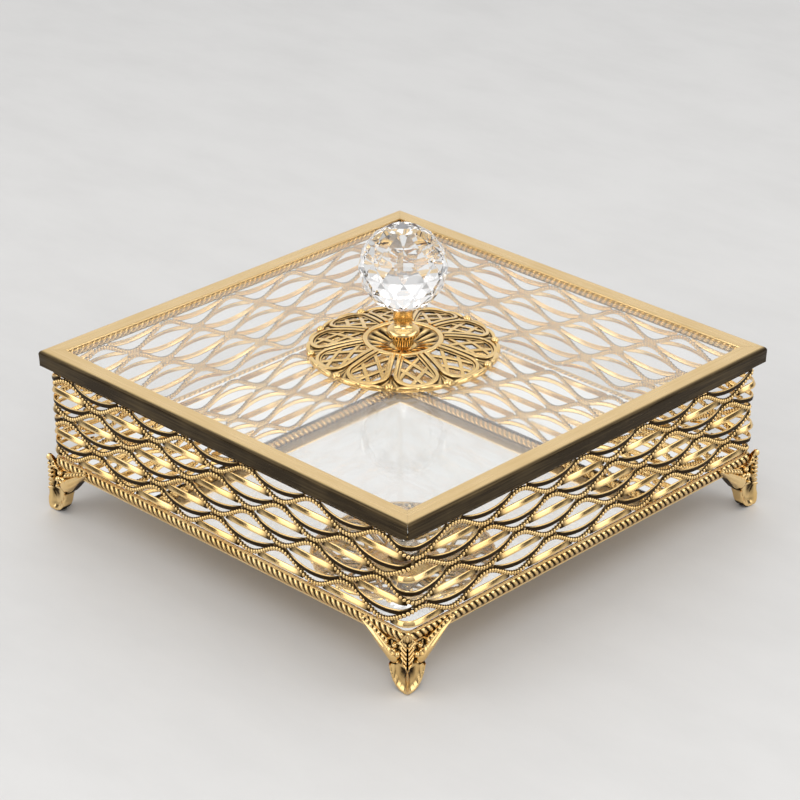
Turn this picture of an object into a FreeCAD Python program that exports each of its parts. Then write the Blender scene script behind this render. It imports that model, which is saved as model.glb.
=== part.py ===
import FreeCAD, Part
import math
import os

# Square box of pierced gallery strip on four cast feet, with a lift-off glass lid and a crystal knob.
# Millimetres, +Z up, origin on the floor under the middle of the box.

# Overall
box_side = 176.0
overrun = 2.0

# Feet
foot_height = 17.4
foot_depth = 5.2
foot_reach = 21.5
foot_toe = 8.4
foot_toe_height = 8.6
foot_crest_rise = 5.0
foot_tip_drop = 2.6
foot_dip_drop = 0.8
foot_dip_place = 6.4
foot_leaf_gap = 0.1
foot_leaf = 0.7
foot_proud = 0.4
foot_rib_radius = 1.7
foot_rib_drop = 8.0
foot_berry_radius = 1.3
foot_berry_place = 4.6
foot_berry_drop = 3.0

# Floor
plate_thickness = 0.6
mirror_thickness = 3.0
mirror_clearance = 0.2

# Gallery strip and its two rope edges
strip_sheet = 1.0
strip_land = 4.35
corner_radius = 4.5
rope_height = 3.9
rope_width = 2.6

# Wave pattern of the strip
wave_count = 4
wave_spacing = 8.1
wave_amplitude = 3.0
wave_length = 30.8
wave_start = 20.0
wave_bend_share = 1.12
rib_width = 1.3
rib_proud = 0.6
seam_margin = 1.2

# Openings from the middle of a lens: reach as a share of its length, heights as shares of its half height
crown_reach_share = 0.24
crown_foot_share = 0.44
crown_sag_share = 0.41
crown_top_share = 0.88
leaf_reach_share = 0.396
leaf_tip_share = -0.043
leaf_top_share = 0.092
leaf_bottom_share = -0.525
crescent_reach_share = 0.205
crescent_tip_share = -0.61
crescent_top_share = -0.737
crescent_bottom_share = -0.893

# Lid frame and glass
lid_sheet = 0.7
lid_flange = 7.4
lid_skirt = 6.0
lid_roll = 1.6
skirt_clearance = 0.5
glass_thickness = 3.0
glass_clearance = 0.5
bond_thickness = 0.3
bond_setback = 0.5
bond_margin = 0.7

# Rosette
rosette_radius = 34.0
rosette_sheet = 1.0
rosette_rim = 1.7
rosette_rise = 6.7
rosette_ring = 14.5
rosette_lip = 1.0
rosette_seat = 6.0
petal_count = 10
petal_root_gap = 1.3
petal_end_gap = 0.5
petal_side_gap = 1.4
petal_shoulder_share = 0.65
petal_bar = 1.0
petal_bar_angle = 38.0
petal_bar_pitch_share = 0.33
rim_bead_radius = 1.2
gasket_radius = 6.0
gasket_thickness = 0.6

# Knob
stud_diameter = 4.0
stud_clearance = 0.15
stud_in_ball = 8.0
stud_tail = 0.8
stem_height = 15.9
stem_foot_radius = 4.4
stem_waist_radius = 3.3
stem_bulb_radius = 5.85
stem_neck_radius = 3.45
stem_waist_height = 4.2
stem_bulb_bottom = 6.0
stem_bulb_middle = 8.4
stem_bulb_top = 10.8
stem_shoulder_radius = 4.4
stem_neck_bottom = 12.4
ball_radius = 15.3
ball_ring_count = 12
ball_ring_angles = (-70.0, -42.0, -14.0, 14.0, 42.0, 70.0)
washer_radius = 6.0
washer_thickness = 0.6
nut_side_count = 6
nut_flats = 7.0
nut_height = 3.2

# Heights that follow from the stack
foot_crest = foot_height + foot_crest_rise
plate_bottom = foot_height
rope_bottom = plate_bottom + plate_thickness
strip_bottom = rope_bottom + rope_height
strip_height = (wave_count - 1) * wave_spacing + 2 * strip_land
strip_top = strip_bottom + strip_height
glass_bottom = strip_top + rope_height
glass_top = glass_bottom + glass_thickness
flange_bottom = glass_top + bond_thickness
lid_top = flange_bottom + lid_sheet
rosette_bottom = glass_top + gasket_thickness
stem_bottom = rosette_bottom + rosette_sheet
ball_bottom = stem_bottom + stem_height
ball_middle = ball_bottom + ball_radius * math.sin(math.radians(ball_ring_angles[-1]))
washer_bottom = glass_bottom - washer_thickness
nut_bottom = washer_bottom - nut_height

# Plan sizes that follow
half_box = box_side / 2
bend_centre = half_box - corner_radius
half_wall = bend_centre + corner_radius * math.sin(math.radians(45))
rope_middle = half_box - strip_sheet / 2
rope_outside = rope_middle + rope_width / 2
mirror_half = rope_middle - rope_width / 2 - mirror_clearance
leaf_back = rope_outside + foot_leaf_gap
foot_face = leaf_back + foot_leaf
skirt_inside = rope_outside + skirt_clearance
half_lid = skirt_inside + lid_sheet
glass_half = skirt_inside - glass_clearance
bore_radius = stud_diameter / 2 + stud_clearance

# Pattern sizes that follow
lens_half = wave_spacing / 2 + wave_amplitude
wave_bend = wave_bend_share * wave_length ** 2 / (4 * math.pi ** 2 * wave_amplitude)
crown_reach = crown_reach_share * wave_length
leaf_reach = leaf_reach_share * wave_length
crescent_reach = crescent_reach_share * wave_length
petal_root = rosette_ring + rosette_lip + petal_root_gap
petal_end = rosette_radius - rosette_rim - petal_end_gap
petal_shoulder = petal_root + petal_shoulder_share * (petal_end - petal_root)
petal_half_width = petal_shoulder * math.tan(math.pi / petal_count) - petal_side_gap
petal_bar_pitch = petal_bar_pitch_share * (petal_end - petal_root)

# A side is built facing -Y and turned to its place. Its wave starts where the last one ended.
sides = ("front", "right", "back", "left")
side_turns = {side: place * 360 / len(sides) for place, side in enumerate(sides)}
side_starts = {"front": 0.0, "right": 2 * half_wall, "back": -4 * half_wall, "left": -2 * half_wall}
seam_ends = {"right": 1, "back": -1}

up = FreeCAD.Vector(0, 0, 1)
origin = FreeCAD.Vector(0, 0, 0)


def vec(x, y, z=0.0):
    return FreeCAD.Vector(x, y, z)


def line(start, end):
    return Part.LineSegment(start, end).toShape()


def arc(start, middle, end):
    return Part.Arc(start, middle, end).toShape()


def face_of(edges):
    return Part.Face(Part.Wire(edges))


def box_between(low, high):
    size = high - low
    return Part.makeBox(size.x, size.y, size.z, low)


def turned(shape, degrees):
    copy = shape.copy()
    copy.rotate(origin, up, degrees)
    return copy


def ring(outer, inner, bottom, height):
    """Round disc with a round hole."""
    disc = Part.makeCylinder(outer, height, vec(0, 0, bottom))
    return disc.cut(Part.makeCylinder(inner, height + 2 * overrun, vec(0, 0, bottom - overrun)))


def square_plate(half, radius, bottom, height):
    """Square plate with rounded upright corners."""
    plate = box_between(vec(-half, -half, bottom), vec(half, half, bottom + height))
    upright = [edge for edge in plate.Edges if abs(edge.tangentAt(edge.FirstParameter).z) > 0.5]
    return plate.makeFillet(radius, upright)


def strip_plan(outer, inner):
    """Plan of one side: a straight run with half a corner bend at each end, between two offset lines."""
    turn = math.radians(45)
    big = corner_radius + outer - half_box
    small = corner_radius + inner - half_box

    def on_bend(sign, radius, angle):
        return vec(sign * (bend_centre + radius * math.sin(angle)), -bend_centre - radius * math.cos(angle))

    return face_of([
        line(vec(-bend_centre, -outer), vec(bend_centre, -outer)),
        arc(on_bend(1, big, 0), on_bend(1, big, turn / 2), on_bend(1, big, turn)),
        line(on_bend(1, big, turn), on_bend(1, small, turn)),
        arc(on_bend(1, small, turn), on_bend(1, small, turn / 2), on_bend(1, small, 0)),
        line(vec(bend_centre, -inner), vec(-bend_centre, -inner)),
        arc(on_bend(-1, small, 0), on_bend(-1, small, turn / 2), on_bend(-1, small, turn)),
        line(on_bend(-1, small, turn), on_bend(-1, big, turn)),
        arc(on_bend(-1, big, turn), on_bend(-1, big, turn / 2), on_bend(-1, big, 0))])


def leaf_prism(middle, height, reach, tip, top, bottom):
    """Opening between two bowed edges that meet at two tips, cut square through the side.

    The heights of the tips and of the two bows are shares of a lens's half height.
    """
    near = -half_box - overrun
    left = vec(middle - reach, near, height + tip * lens_half)
    right = vec(middle + reach, near, height + tip * lens_half)
    upper = vec(middle, near, height + top * lens_half)
    lower = vec(middle, near, height + bottom * lens_half)
    over = line(left, right) if top == tip else arc(left, upper, right)
    under = arc(right, lower, left)
    return face_of([over, under]).extrude(vec(0, corner_radius + strip_sheet + 2 * overrun))


def wave_height(index):
    return strip_bottom + strip_land + index * wave_spacing


def wave_sign(index):
    """The top line has a crest at the start of the pattern, and lines alternate below it."""
    return 1 if (wave_count - 1 - index) % 2 == 0 else -1


def lens_middles(start, shifted):
    """Places along a side where a row has its lenses, with those that reach in from the next side."""
    first = wave_start + (wave_length / 2 if shifted else 0)
    low = math.floor((start - leaf_reach - first) / wave_length)
    count = math.ceil((2 * half_wall + 2 * leaf_reach) / wave_length) + 2
    places = [first + (low + k) * wave_length - start - half_wall for k in range(count)]
    return [x for x in places if abs(x) < half_wall + leaf_reach]


def lens_openings(start):
    """Every opening of one side: crown, leaf and crescent in each lens, half lenses at the two edges."""
    cuts = []
    for row in range(wave_count + 1):
        height = wave_height(0) - wave_spacing / 2 + row * wave_spacing
        shifted = (wave_count - row) % 2 == 0
        for x in lens_middles(start, shifted):
            if row < wave_count:
                cuts.append(leaf_prism(
                    x, height, crown_reach, crown_foot_share, crown_top_share, crown_sag_share))
            if row > 0:
                roof = leaf_tip_share if row == wave_count else leaf_top_share
                cuts.append(leaf_prism(x, height, leaf_reach, leaf_tip_share, roof, leaf_bottom_share))
                cuts.append(leaf_prism(
                    x, height, crescent_reach,
                    crescent_tip_share, crescent_top_share, crescent_bottom_share))
    return cuts


def wave_edge(turns, height, side):
    """One edge of a wavy rib: an arc round each crest and trough, joined by straight tangents."""
    near = -half_box - overrun
    span = wave_length / 2
    rise = 2 * (wave_bend - wave_amplitude)
    apart = math.hypot(span, rise) / 2
    tilt = math.asin(wave_bend / apart) - math.atan2(rise, span)
    edges = []
    for (x, sign), (after, other) in zip(turns, turns[1:]):
        first = wave_bend + sign * side * rib_width / 2
        last = wave_bend + other * side * rib_width / 2

        def on_arc(place, way, radius, angle):
            middle = height + way * (wave_amplitude - wave_bend)
            return vec(place + radius * math.sin(angle), near, middle + way * radius * math.cos(angle))

        leave = on_arc(x, sign, first, tilt)
        reach = on_arc(after, other, last, -tilt)
        edges.append(arc(on_arc(x, sign, first, 0), on_arc(x, sign, first, tilt / 2), leave))
        edges.append(line(leave, reach))
        edges.append(arc(reach, on_arc(after, other, last, -tilt / 2), on_arc(after, other, last, 0)))
    return edges


def wave_band(index, start):
    """Prism under one wavy rib: a band of even width from before the side's start to past its end."""
    span = wave_length / 2
    first = math.floor((start - wave_start) / span)
    count = math.ceil(2 * half_wall / span) + 2
    turns = []
    for k in range(first, first + count):
        turns.append((wave_start + k * span - start - half_wall, wave_sign(index) * (-1) ** k))
    edges = []
    corners = []
    for side in (1, -1):
        edge = wave_edge(turns, wave_height(index), side)
        edges += edge
        corners.append((edge[0].valueAt(edge[0].FirstParameter), edge[-1].valueAt(edge[-1].LastParameter)))
    edges += [line(corners[0][k], corners[1][k]) for k in (0, 1)]
    outline = face_of(Part.__sortEdges__(edges))
    return outline.extrude(vec(0, corner_radius + strip_sheet + 2 * overrun))


def gallery(side):
    """Pierced strip of one side, with four wavy ribs standing on its outer face."""
    start = side_starts[side]
    sheet = strip_plan(half_box, half_box - strip_sheet)
    sheet.translate(vec(0, 0, strip_bottom))
    wall = sheet.extrude(vec(0, 0, strip_height))
    cuts = lens_openings(start)
    if side in seam_ends:
        end = seam_ends[side]
        edge = half_wall - seam_margin
        reach = leaf_reach + wave_length
        keep = box_between(
            vec(min(end * edge, end * (edge + reach)), -half_box - 2 * overrun, strip_bottom),
            vec(max(end * edge, end * (edge + reach)), 0, strip_top))
        cuts = [cut.cut(keep) for cut in cuts]
        cuts = [cut for cut in cuts if cut.Volume > 0]
    wall = wall.cut(Part.makeCompound(cuts))
    layer = strip_plan(half_box + rib_proud, half_box)
    layer.translate(vec(0, 0, strip_bottom))
    skin = layer.extrude(vec(0, 0, strip_height))
    ribs = [skin.common(wave_band(index, start)) for index in range(wave_count)]
    return turned(wall.multiFuse(ribs), side_turns[side])


def rope(side, bottom):
    """Edge wire of one side: two bowed flanks with a flat land above and below, bent at both ends."""
    land = strip_sheet / 2
    bulge = rope_width / 2
    top = bottom + rope_height
    middle = bottom + rope_height / 2

    def section(x):
        def at(out, z):
            return vec(x, -rope_middle - out, z)
        return face_of([
            line(at(-land, bottom), at(land, bottom)),
            arc(at(land, bottom), at(bulge, middle), at(land, top)),
            line(at(land, top), at(-land, top)),
            arc(at(-land, top), at(-bulge, middle), at(-land, bottom))])

    straight = section(-bend_centre).extrude(vec(2 * bend_centre, 0))
    bends = [
        section(end * bend_centre).revolve(vec(end * bend_centre, -bend_centre), up, end * 45)
        for end in (1, -1)]
    return turned(straight.multiFuse(bends), side_turns[side])


def foot_outline():
    """Outline of one arm on its wall: toe, notch, leaf that sweeps out to its tip, dip and crest."""
    tip_low = foot_crest - foot_tip_drop
    toe_share = 0.55
    sweep_shares = (0.60, 0.34)
    dip_rise_share = 0.38
    crest_rise_share = 0.34

    def at(place, z):
        return vec(place - foot_face, -foot_face, z)

    dip_height = foot_height - foot_dip_drop
    toe_end = at(foot_toe, foot_toe_height)
    tip = at(foot_reach, tip_low)
    crest_tip = at(foot_reach, tip_low + foot_tip_drop / 2)
    dip = at(foot_dip_place, dip_height)
    sweep = at(
        foot_toe + sweep_shares[0] * (foot_reach - foot_toe),
        foot_toe_height + sweep_shares[1] * (tip_low - foot_toe_height))
    rise = at(
        (foot_dip_place + foot_reach) / 2,
        dip_height + dip_rise_share * (crest_tip.z - dip_height))
    toe_side = at(toe_share * (foot_toe + foot_toe * toe_share), foot_toe_height * (1 - toe_share) / 2)
    crest_side = at(foot_dip_place / 2, dip_height + crest_rise_share * (foot_crest - dip_height))
    return face_of([
        line(at(0, 0), at(foot_toe * toe_share / 2, 0)),
        arc(at(foot_toe * toe_share / 2, 0), toe_side, toe_end),
        arc(toe_end, sweep, tip),
        line(tip, crest_tip),
        arc(crest_tip, rise, dip),
        arc(dip, crest_side, at(0, foot_crest)),
        line(at(0, foot_crest), at(0, 0))])


def foot():
    """Cast corner foot: two arms at a right angle, a seat under the plate, a corner rib and two berries."""
    arm = foot_outline().extrude(vec(0, foot_depth))
    other = arm.mirror(origin, vec(1, -1))
    seat = box_between(
        vec(-leaf_back, -leaf_back, plate_bottom), vec(0, 0, foot_crest + overrun))
    rib_bottom = foot_height - foot_rib_drop
    rib_middle = (rib_bottom + foot_crest) / 2
    rib_axis = foot_face + foot_proud - foot_rib_radius

    def on_axis(out, z):
        return vec(-rib_axis + out, -rib_axis, z)

    spindle = face_of([
        line(on_axis(0, rib_bottom), on_axis(0, foot_crest)),
        arc(on_axis(0, foot_crest), on_axis(foot_rib_radius, rib_middle), on_axis(0, rib_bottom))])
    rib = spindle.revolve(on_axis(0, 0), up, 360)
    berry_out = foot_face + foot_proud - foot_berry_radius
    berry_along = foot_face - foot_berry_place
    berry_height = foot_height - foot_berry_drop
    berries = [
        Part.makeSphere(foot_berry_radius, vec(-berry_along, -berry_out, berry_height)),
        Part.makeSphere(foot_berry_radius, vec(-berry_out, -berry_along, berry_height))]
    return arm.multiFuse([other, rib] + berries).cut(seat)


def lid_rail(side):
    """Sheet rail of the lid: flange, rolled edge and skirt, mitred at both ends."""
    skirt_end = lid_top - lid_skirt
    roll_out = half_lid - lid_roll
    roll_low = lid_top - lid_roll
    bend = math.sin(math.radians(45))
    small = lid_roll - lid_sheet

    def at(out, z):
        return vec(-half_lid, -out, z)

    inner = half_lid - lid_flange
    section = face_of([
        line(at(inner, lid_top), at(roll_out, lid_top)),
        arc(at(roll_out, lid_top), at(roll_out + lid_roll * bend, roll_low + lid_roll * bend),
            at(half_lid, roll_low)),
        line(at(half_lid, roll_low), at(half_lid, skirt_end)),
        line(at(half_lid, skirt_end), at(skirt_inside, skirt_end)),
        line(at(skirt_inside, skirt_end), at(skirt_inside, roll_low)),
        arc(at(skirt_inside, roll_low), at(roll_out + small * bend, roll_low + small * bend),
            at(roll_out, flange_bottom)),
        line(at(roll_out, flange_bottom), at(inner, flange_bottom)),
        line(at(inner, flange_bottom), at(inner, lid_top))])
    rail = section.extrude(vec(2 * half_lid, 0))
    past = half_lid + overrun
    mitre = face_of([
        line(vec(0, 0, skirt_end), vec(-past, -past, skirt_end)),
        line(vec(-past, -past, skirt_end), vec(past, -past, skirt_end)),
        line(vec(past, -past, skirt_end), vec(0, 0, skirt_end))])
    return turned(rail.common(mitre.extrude(vec(0, 0, lid_skirt))), side_turns[side])


def lid_glass():
    pane = box_between(vec(-glass_half, -glass_half, glass_bottom), vec(glass_half, glass_half, glass_top))
    return pane.cut(Part.makeCylinder(
        bore_radius, glass_thickness + 2 * overrun, vec(0, 0, glass_bottom - overrun)))


def glazing_bond():
    inner = half_lid - lid_flange + bond_setback
    outer = half_lid - lid_roll - bond_margin
    frame = box_between(vec(-outer, -outer, glass_top), vec(outer, outer, flange_bottom))
    return frame.cut(box_between(
        vec(-inner, -inner, glass_top - overrun), vec(inner, inner, flange_bottom + overrun)))


def rosette_shell():
    """Dome from a thick rim up to a plain ring, then a dished cup down to the seat on the gasket."""
    seat_top = rosette_bottom + rosette_sheet
    ring_top = glass_top + rosette_rise
    rim_top = glass_top + rosette_rim
    rim_in = rosette_radius - rosette_rim
    crown_share = 0.68
    mid = (rim_in + rosette_ring) / 2
    mid_top = rim_top + crown_share * (ring_top - rim_top)
    lip_out = rosette_ring + rosette_lip
    lip_in = rosette_ring - rosette_lip
    cup_mid = (lip_in + rosette_seat) / 2
    cup_share = 0.36
    cup_top = seat_top + cup_share * (ring_top - seat_top)

    def at(out, z):
        return vec(out, 0, z)

    sheet = rosette_sheet
    section = face_of([
        line(at(bore_radius, rosette_bottom), at(rosette_seat, rosette_bottom)),
        arc(at(rosette_seat, rosette_bottom), at(cup_mid + sheet / 2, cup_top - sheet),
            at(lip_in + sheet / 2, ring_top - 2 * sheet)),
        line(at(lip_in + sheet / 2, ring_top - 2 * sheet), at(lip_out - sheet / 2, ring_top - 2 * sheet)),
        arc(at(lip_out - sheet / 2, ring_top - 2 * sheet), at(mid, mid_top - sheet), at(rim_in, glass_top)),
        line(at(rim_in, glass_top), at(rosette_radius - rosette_rim / 2, glass_top)),
        arc(at(rosette_radius - rosette_rim / 2, glass_top),
            at(rosette_radius, glass_top + rosette_rim / 2),
            at(rosette_radius - rosette_rim / 2, rim_top)),
        line(at(rosette_radius - rosette_rim / 2, rim_top), at(rim_in, rim_top)),
        arc(at(rim_in, rim_top), at(mid, mid_top), at(lip_out, ring_top - rosette_lip)),
        arc(at(lip_out, ring_top - rosette_lip), at(rosette_ring, ring_top),
            at(lip_in, ring_top - rosette_lip)),
        arc(at(lip_in, ring_top - rosette_lip), at(cup_mid, cup_top), at(rosette_seat, seat_top)),
        line(at(rosette_seat, seat_top), at(bore_radius, seat_top)),
        line(at(bore_radius, seat_top), at(bore_radius, rosette_bottom))])
    return section.revolve(origin, up, 360)


def petal_openings():
    """Openings of one petal: a drop outline less two pairs of crossing bars."""
    low = glass_top - overrun
    tall = rosette_rise + 2 * overrun
    flank_share = 0.6
    flank_out_share = 0.66
    flank = petal_root + flank_share * (petal_shoulder - petal_root)
    flank_out = petal_half_width * flank_out_share
    root = vec(petal_root, 0, low)
    end = vec(petal_end, 0, low)
    left = vec(petal_shoulder, petal_half_width, low)
    right = vec(petal_shoulder, -petal_half_width, low)
    drop = face_of([
        arc(root, vec(flank, flank_out, low), left),
        arc(left, end, right),
        arc(right, vec(flank, -flank_out, low), root)]).extrude(vec(0, 0, tall))
    bars = []
    middle = vec((petal_root + petal_end) / 2 + petal_bar, 0, low)
    length = petal_end - petal_root
    for lean in (petal_bar_angle, -petal_bar_angle):
        for step in (-1, 1):
            bar = box_between(
                middle + vec(-length, step * petal_bar_pitch / 2 - petal_bar / 2),
                middle + vec(length, step * petal_bar_pitch / 2 + petal_bar / 2, tall))
            bar.rotate(middle, up, lean)
            bars.append(bar)
    return drop.cut(Part.makeCompound(bars))


def rosette():
    """Pierced dome: petals of crossing bars around a plain ring, with a bead on the rim between petals."""
    step = 360 / petal_count
    petal = petal_openings()
    petals = [turned(petal, (k + 0.5) * step) for k in range(petal_count)]
    bead_place = rosette_radius - rim_bead_radius
    bead = Part.makeSphere(rim_bead_radius, vec(bead_place, 0, glass_top + rim_bead_radius))
    beads = [turned(bead, k * step) for k in range(petal_count)]
    return rosette_shell().cut(Part.makeCompound(petals)).multiFuse(beads)


def knob_stem():
    """Turned stem: flared foot, waist, round bulb, shoulder and neck, bored for the stud."""
    def at(out, height):
        return vec(out, 0, stem_bottom + height)

    half_foot = (stem_foot_radius + stem_waist_radius) / 2
    hollow_share = 0.9
    neck_mid = (stem_shoulder_radius + stem_neck_radius) / 2 * hollow_share
    section = face_of([
        line(at(bore_radius, 0), at(stem_foot_radius, 0)),
        arc(at(stem_foot_radius, 0), at(half_foot * hollow_share, stem_waist_height / 2),
            at(stem_waist_radius, stem_waist_height)),
        line(at(stem_waist_radius, stem_waist_height), at(stem_waist_radius, stem_bulb_bottom)),
        line(at(stem_waist_radius, stem_bulb_bottom), at(stem_shoulder_radius, stem_bulb_bottom)),
        arc(at(stem_shoulder_radius, stem_bulb_bottom), at(stem_bulb_radius, stem_bulb_middle),
            at(stem_shoulder_radius, stem_bulb_top)),
        arc(at(stem_shoulder_radius, stem_bulb_top),
            at(neck_mid, (stem_bulb_top + stem_neck_bottom) / 2),
            at(stem_neck_radius, stem_neck_bottom)),
        line(at(stem_neck_radius, stem_neck_bottom), at(stem_neck_radius, stem_height)),
        line(at(stem_neck_radius, stem_height), at(bore_radius, stem_height)),
        line(at(bore_radius, stem_height), at(bore_radius, 0))])
    return section.revolve(origin, up, 360)


def crystal_ball():
    """Cut ball: rings of corners on a sphere, turned half a step from ring to ring, joined by triangles."""
    rings = []
    for number, degrees in enumerate(ball_ring_angles):
        angle = math.radians(degrees)
        out = ball_radius * math.cos(angle)
        height = ball_middle + ball_radius * math.sin(angle)
        turns = [2 * math.pi * (k + number / 2) / ball_ring_count for k in range(ball_ring_count)]
        rings.append([vec(out * math.cos(t), out * math.sin(t), height) for t in turns])
    facets = [Part.Face(Part.makePolygon(ring + ring[:1])) for ring in (rings[0], rings[-1])]
    for low, high in zip(rings, rings[1:]):
        for k in range(ball_ring_count):
            after = (k + 1) % ball_ring_count
            facets.append(Part.Face(Part.makePolygon([low[k], low[after], high[k], low[k]])))
            facets.append(Part.Face(Part.makePolygon([high[k], low[after], high[after], high[k]])))
    ball = Part.makeSolid(Part.makeShell(facets))
    if ball.Volume < 0:
        ball.reverse()
    bore = Part.makeCylinder(bore_radius, stud_in_ball + overrun, vec(0, 0, ball_bottom - overrun))
    return ball.cut(bore)


def knob_nut():
    corner = nut_flats / 2 / math.cos(math.pi / nut_side_count)
    turns = [2 * math.pi * k / nut_side_count for k in range(nut_side_count + 1)]
    corners = [vec(corner * math.cos(t), corner * math.sin(t), nut_bottom) for t in turns]
    nut = Part.Face(Part.makePolygon(corners)).extrude(vec(0, 0, nut_height))
    return nut.cut(Part.makeCylinder(bore_radius, nut_height + 2 * overrun, vec(0, 0, nut_bottom - overrun)))


def knob_stud():
    bottom = nut_bottom - stud_tail
    top = ball_bottom + stud_in_ball
    return Part.makeCylinder(stud_diameter / 2, top - bottom, vec(0, 0, bottom))


nodes = {
    "base_plate": square_plate(half_box, corner_radius, plate_bottom, plate_thickness),
    "mirror_floor": square_plate(
        mirror_half, corner_radius - half_box + mirror_half, rope_bottom, mirror_thickness),
    "lid_glass": lid_glass(),
    "glazing_bond": glazing_bond(),
    "rosette": rosette(),
    "rosette_gasket": ring(gasket_radius, bore_radius, glass_top, gasket_thickness),
    "knob_stem": knob_stem(),
    "crystal_ball": crystal_ball(),
    "knob_stud": knob_stud(),
    "knob_washer": ring(washer_radius, bore_radius, washer_bottom, washer_thickness),
    "knob_nut": knob_nut(),
}
corner_foot = foot()
for side in sides:
    nodes["gallery_" + side] = gallery(side)
    nodes["lower_rope_" + side] = rope(side, rope_bottom)
    nodes["upper_rope_" + side] = rope(side, strip_top)
    nodes["lid_rail_" + side] = lid_rail(side)
    nodes["foot_" + side] = turned(corner_foot, side_turns[side])

os.makedirs("parts", exist_ok=True)
for name, shape in nodes.items():
    shape.exportStep("parts/" + name + ".step")
    print(name, len(shape.Solids), round(shape.Volume, 2), shape.isValid())
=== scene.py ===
import math

import bpy
import numpy as np
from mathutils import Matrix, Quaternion, Vector


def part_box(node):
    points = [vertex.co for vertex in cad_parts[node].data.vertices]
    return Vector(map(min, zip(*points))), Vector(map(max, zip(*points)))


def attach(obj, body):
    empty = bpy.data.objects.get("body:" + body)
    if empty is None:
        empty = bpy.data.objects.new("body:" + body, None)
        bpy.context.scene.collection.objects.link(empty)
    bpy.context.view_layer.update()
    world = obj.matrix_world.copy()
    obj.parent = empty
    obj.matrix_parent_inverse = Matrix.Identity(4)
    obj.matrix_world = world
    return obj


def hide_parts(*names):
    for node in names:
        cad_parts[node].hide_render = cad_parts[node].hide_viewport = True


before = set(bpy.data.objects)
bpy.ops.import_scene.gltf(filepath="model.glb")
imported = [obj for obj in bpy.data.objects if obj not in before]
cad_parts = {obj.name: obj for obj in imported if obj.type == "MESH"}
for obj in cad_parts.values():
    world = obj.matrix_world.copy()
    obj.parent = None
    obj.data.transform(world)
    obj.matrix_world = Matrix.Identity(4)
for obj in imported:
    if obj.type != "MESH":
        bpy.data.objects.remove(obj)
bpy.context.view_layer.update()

# Square box of gilded lace strip on cast feet, with a framed glass lid and a crystal knob.
# Shapes are worked out in millimetres and become metres when a mesh is made.
MM = 0.001


def corners(node):
    """Lowest and highest corner of a CAD node, in millimetres."""
    low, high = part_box(node)
    return np.array(low) / MM, np.array(high) / MM


# Sizes read from the frame
half_box = corners("base_plate")[1][0]
seat_height = corners("base_plate")[0][2]
strip_bottom = corners("gallery_front")[0][2]
strip_top = corners("gallery_front")[1][2]
lower_rope_low = corners("lower_rope_front")[0][2]
upper_rope_high = corners("upper_rope_front")[1][2]
half_lid = corners("lid_rail_front")[1][0]
lid_top = corners("lid_rail_front")[1][2]
skirt_bottom = corners("lid_rail_front")[0][2]
glass_top = corners("lid_glass")[1][2]
rosette_radius = corners("rosette")[1][0]
ring_top = corners("rosette")[1][2]
stem_bottom = corners("knob_stem")[0][2]
stem_top = corners("knob_stem")[1][2]

# Sizes of the lace strip
strip_sheet = 1.0
corner_radius = 4.5
wave_count = 4
wave_spacing = 8.1
wave_amplitude = 3.0
wave_length = 30.8
wave_start = 20.0
band_width = 1.5
band_sheet = 0.5
bead_long = 0.70
bead_thick = 0.88
bead_wide = 0.98
bead_pitch = 1.36
bead_proud = 0.02
# A bead's painted shade starts past bead_cap and deepens over bead_fade towards its rim.
bead_cap = 0.67
bead_fade = 0.42
joint_long = 3.6
joint_thick = 0.3
joint_high = 0.95
slat_sheet = 0.55
# A vane's shade is the painted shade on the lower part of its outer face: none on the upper vane, full on
# the lower.
upper_slat = dict(
    reach=10.8, rise=2.7, sag=-0.9, width=2.2, bow=1.3, lean=math.radians(-24), shade=0.0)
lower_slat = dict(
    reach=12.0, rise=-2.9, sag=2.05, width=2.0, bow=1.0, lean=math.radians(4), shade=1.0)
edge_wire = 0.8
seam_bar = 1.2
seam_hair = 0.001

# Painted shade on the strip, and steps along its curves
band_shade = 0.95
inner_band_shade = 0.3
inner_bead_shade = 0.65
inner_joint_shade = 0.2
line_samples = 20000
slope_step = 0.05
wave_steps = 150
slat_steps = 21

# Sizes of the rope edges
rope_width = 2.8
rope_height = 3.6
upper_rope_shift = -0.35
rope_pitch = 2.5
rope_lobe_share = 0.82
rope_groove_share = 0.4
rope_slope_share = 0.9
rope_steps = 12
rope_around = 20

# Plan lines that follow
bend_centre = half_box - corner_radius
bend_radius = corner_radius - strip_sheet / 2
half_wall = bend_centre + bend_radius * np.pi / 4
half_loop = 4 * half_wall
wave_low = (strip_bottom + strip_top - (wave_count - 1) * wave_spacing) / 2
sides = ("front", "right", "back", "left")
side_starts = {"front": 0.0, "right": 2 * half_wall, "back": -4 * half_wall, "left": -2 * half_wall}


# Mesh making
def smooth_step(value, low, high):
    """Rises from 0 to 1 between two values, level at both ends."""
    share = np.clip((value - low) / (high - low), 0, 1)
    return share * share * (3 - 2 * share)


def lattice(count, nu, nv, wrap_u=False, wrap_v=False, caps=False):
    """Corner numbers of the quads on count grids of nu by nv points, stacked one after another.

    Neighbours along u and v make each quad. Caps close a tube's two ends by pairing the ring's halves.
    """
    u, v = np.meshgrid(np.arange(nu - (not wrap_u)), np.arange(nv - (not wrap_v)), indexing="ij")
    next_u, next_v = (u + 1) % nu, (v + 1) % nv
    quads = np.stack([u * nv + v, next_u * nv + v, next_u * nv + next_v, u * nv + next_v], -1).reshape(-1, 4)
    if caps:
        k = np.arange(nv // 2 - 1)
        start = np.stack([k, k + 1, nv - 2 - k, nv - 1 - k], -1)
        quads = np.concatenate([quads, start, start[:, ::-1] + (nu - 1) * nv])
    return (np.arange(count)[:, None, None] * nu * nv + quads).reshape(-1, 4)


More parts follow.
